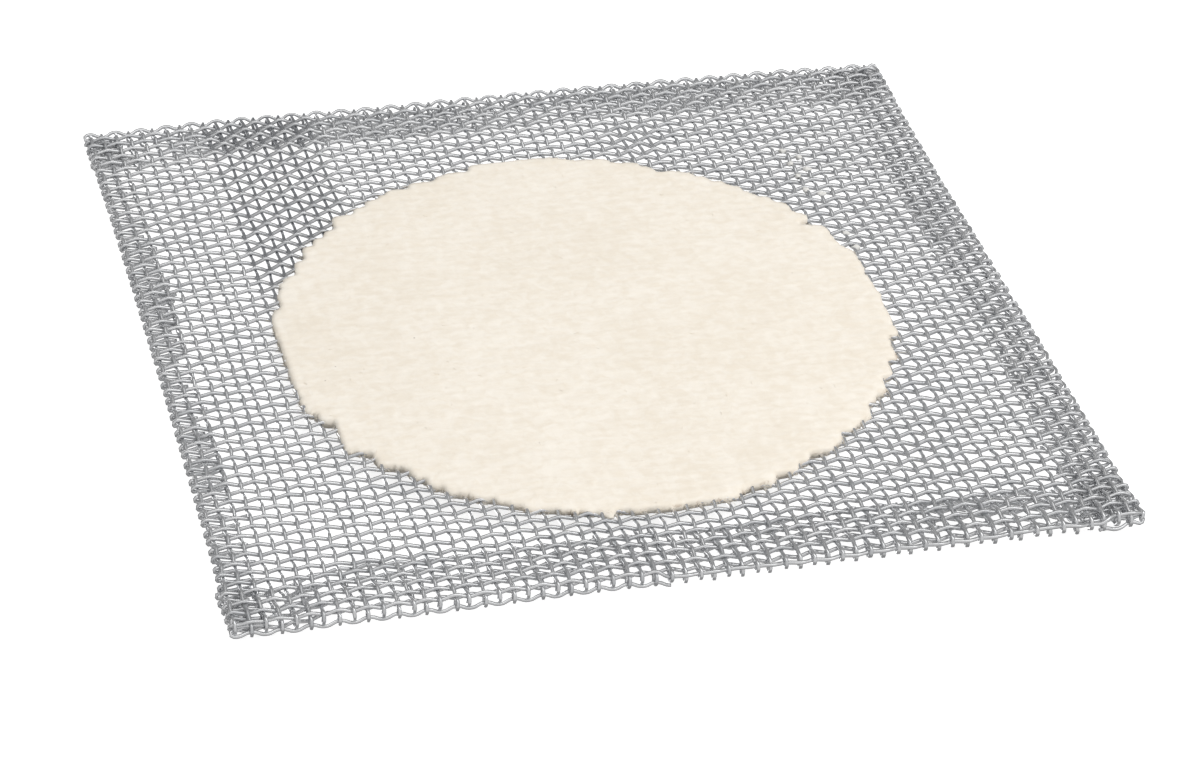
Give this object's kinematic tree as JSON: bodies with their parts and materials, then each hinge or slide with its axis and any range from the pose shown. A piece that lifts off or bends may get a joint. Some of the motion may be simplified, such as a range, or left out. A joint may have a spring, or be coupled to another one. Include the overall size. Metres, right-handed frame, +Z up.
{
  "type": "wire gauze",
  "caption": "Square sheet of woven steel wire with all four edges folded under and a round ceramic-fibre centre pressed through the mesh.",
  "frame": {"origin": "under the middle of the gauze, on the surface that its hems rest on", "axes": "+Z up through the ceramic centre, +X along the left-right wires, +Y along the front-back wires"},
  "size_m": [0.15, 0.15, 0.0058],
  "materials": {
    "steel_wire": "satin, drawn wire",
    "ceramic_fibre": "matt, felted"
  },
  "bodies": {
    "root": {"ceramic_centre": "ceramic_fibre", "warp_wires_left": "steel_wire", "warp_wires_middle": "steel_wire", "warp_wires_right": "steel_wire", "warp_wires_left_hem": "steel_wire", "warp_wires_right_hem": "steel_wire", "weft_wires_front": "steel_wire", "weft_wires_middle": "steel_wire", "weft_wires_back": "steel_wire", "weft_wires_front_hem": "steel_wire", "weft_wires_back_hem": "steel_wire"}
  },
  "joints": []
}
